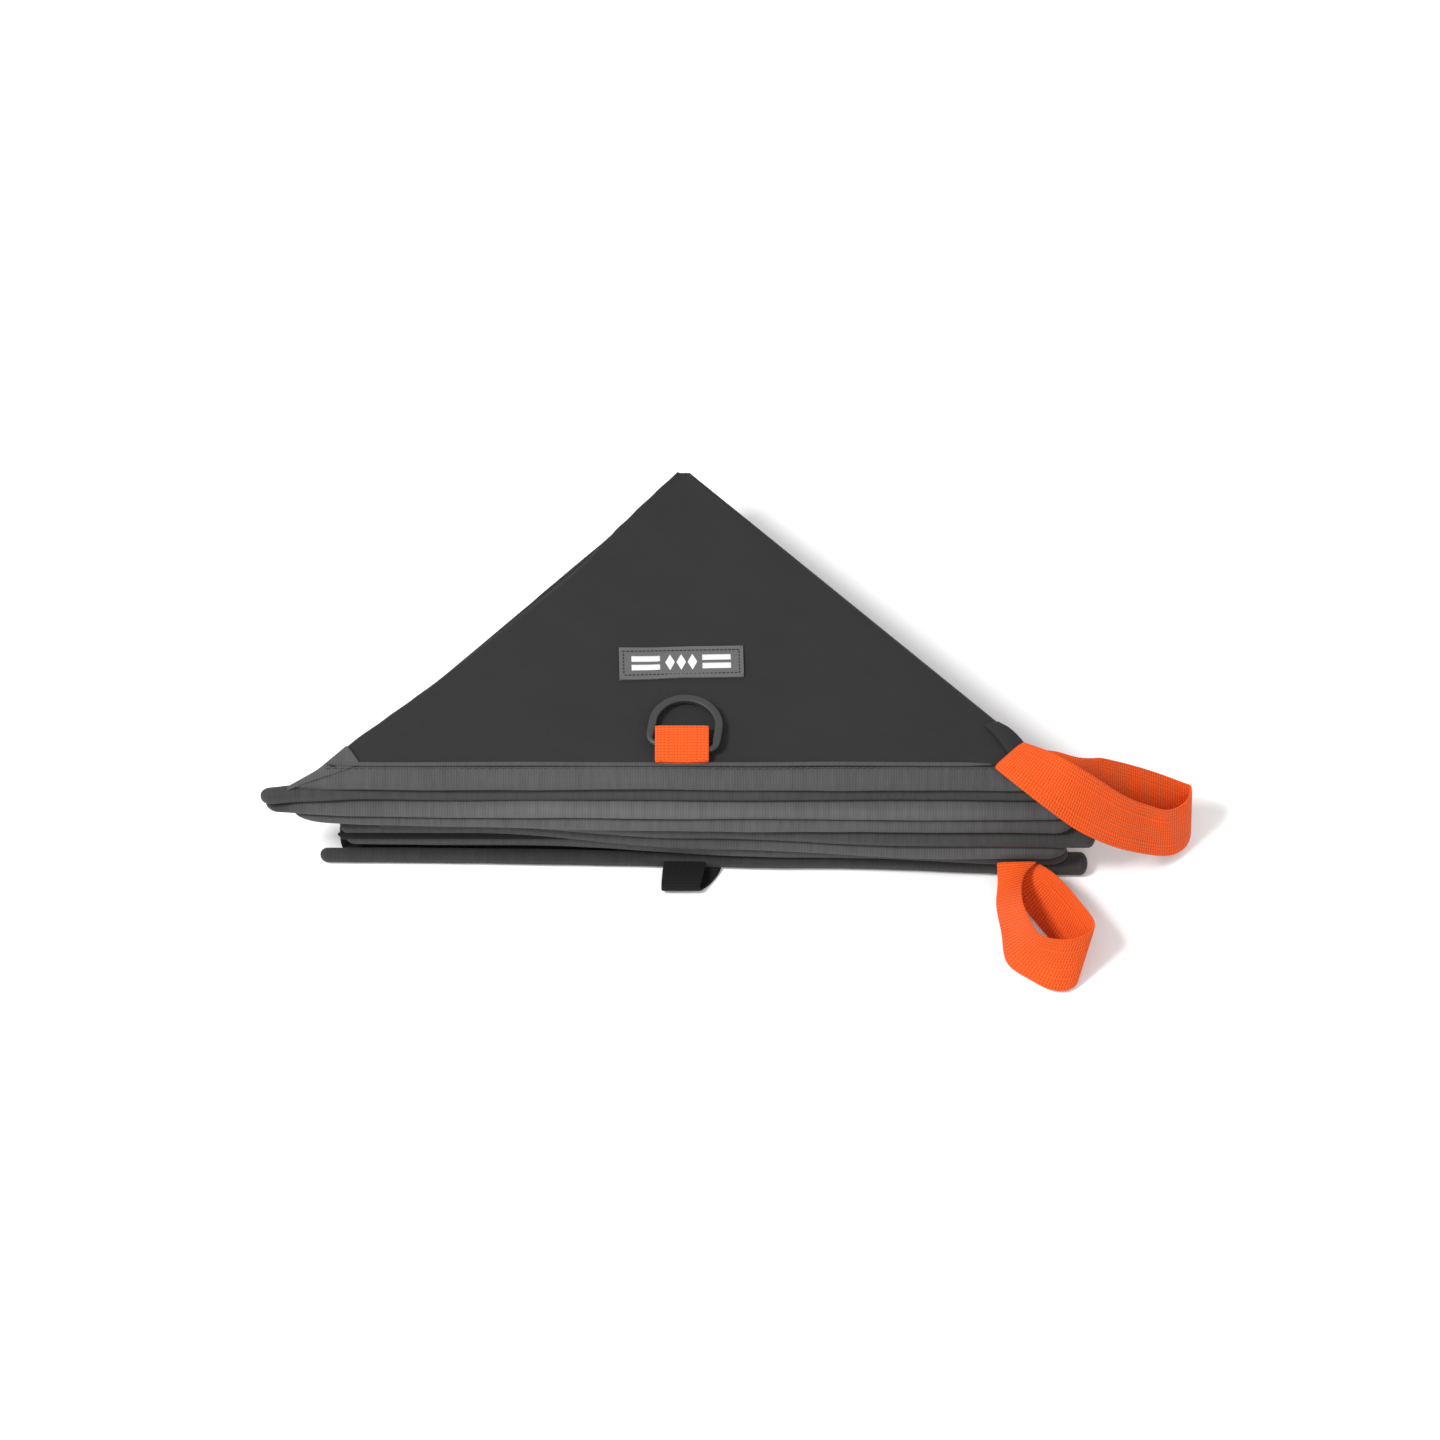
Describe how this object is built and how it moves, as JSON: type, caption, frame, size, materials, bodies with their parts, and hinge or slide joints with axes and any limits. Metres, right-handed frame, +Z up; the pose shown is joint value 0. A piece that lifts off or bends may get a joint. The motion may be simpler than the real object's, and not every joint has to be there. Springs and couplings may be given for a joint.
{
  "type": "collapsible fabric storage cube, folded",
  "caption": "Collapsible fabric storage cube folded flat to a triangular stack, with rods in its edges, a D-ring, a label and webbing loops.",
  "frame": {"origin": "on the underside of the lowest folded quarter, at the centroid of the triangle", "axes": "+Z up, -Y to the front where the edge tubes are stacked, +Y to the apex, +X along the long side to the webbing loops"},
  "size_m": [0.4587, 0.2823, 0.0776],
  "materials": {
    "panel_fabric": "matt dark grey woven polyester",
    "sleeve_fabric": "ribbed grey woven polyester",
    "orange_webbing": "orange flat woven webbing",
    "black_webbing": "black flat woven webbing",
    "label_fabric": null,
    "ring_plastic": "matt moulded dark grey",
    "rod_fibreglass": "smooth pultruded rod",
    "cap_plastic": "black moulded cap"
  },
  "bodies": {
    "base_quarter": {"base_rod_low": "rod_fibreglass", "base_rod_high": "rod_fibreglass", "base_rod_rear": "rod_fibreglass", "base_sleeve_low": "sleeve_fabric", "base_sleeve_high": "sleeve_fabric", "base_sleeve_rear": "sleeve_fabric", "base_panel_bottom": "panel_fabric", "base_panel_second": "panel_fabric", "base_panel_middle": "panel_fabric", "base_panel_fourth": "panel_fabric", "base_panel_outer": "panel_fabric", "base_rod_caps": "cap_plastic", "black_webbing_loop": "black_webbing"},
    "lower_quarter": {"lower_rod_low": "rod_fibreglass", "lower_rod_high": "rod_fibreglass", "lower_rod_rear": "rod_fibreglass", "lower_sleeve_low": "sleeve_fabric", "lower_sleeve_high": "sleeve_fabric", "lower_sleeve_rear": "sleeve_fabric", "lower_panel_bottom": "panel_fabric", "lower_panel_second": "panel_fabric", "lower_panel_middle": "panel_fabric", "lower_panel_fourth": "panel_fabric", "lower_panel_outer": "panel_fabric", "lower_rod_caps": "cap_plastic", "lower_webbing_loop": "orange_webbing"},
    "upper_quarter": {"upper_rod_low": "rod_fibreglass", "upper_rod_high": "rod_fibreglass", "upper_rod_rear": "rod_fibreglass", "upper_sleeve_low": "sleeve_fabric", "upper_sleeve_high": "sleeve_fabric", "upper_sleeve_rear": "sleeve_fabric", "upper_panel_bottom": "panel_fabric", "upper_panel_second": "panel_fabric", "upper_panel_middle": "panel_fabric", "upper_panel_fourth": "panel_fabric", "upper_panel_outer": "panel_fabric", "upper_rod_caps": "cap_plastic"},
    "top_quarter": {"top_rod_low": "rod_fibreglass", "top_rod_high": "rod_fibreglass", "top_rod_rear": "rod_fibreglass", "top_sleeve_low": "sleeve_fabric", "top_sleeve_high": "sleeve_fabric", "top_sleeve_rear": "sleeve_fabric", "top_panel_bottom": "panel_fabric", "top_panel_second": "panel_fabric", "top_panel_middle": "panel_fabric", "top_panel_fourth": "panel_fabric", "top_panel_outer": "panel_fabric", "top_rod_caps": "cap_plastic", "label_patch": "label_fabric", "ring_tab": "orange_webbing", "upper_webbing_loop": "orange_webbing"},
    "d_ring": {"d_ring": "ring_plastic"}
  },
  "joints": [
    {"name": "lower_unfold", "type": "hinge", "parent": "base_quarter", "child": "lower_quarter", "pos_m": [0.00877, 0.12456, 0.0173], "axis": [-0.7071, -0.7071, 0], "range_deg": [0, 180]},
    {"name": "upper_unfold", "type": "hinge", "parent": "lower_quarter", "child": "upper_quarter", "pos_m": [0.00042, 0.13376, 0.0348], "axis": [-0.7071, 0.7071, 0], "range_deg": [0, 180]},
    {"name": "top_unfold", "type": "hinge", "parent": "upper_quarter", "child": "top_quarter", "pos_m": [-0.00071, 0.13404, 0.0523], "axis": [-0.7071, -0.7071, 0], "range_deg": [0, 180]},
    {"name": "ring_swing", "type": "hinge", "parent": "top_quarter", "child": "d_ring", "pos_m": [-0.0015, -0.04597, 0.07255], "axis": [0.9903, -0.1392, 0], "range_deg": [0, 165]}
  ],
  "couplings": [
    {"joint": "upper_unfold", "follows": "lower_unfold", "ratio": 1},
    {"joint": "top_unfold", "follows": "lower_unfold", "ratio": 1}
  ]
}
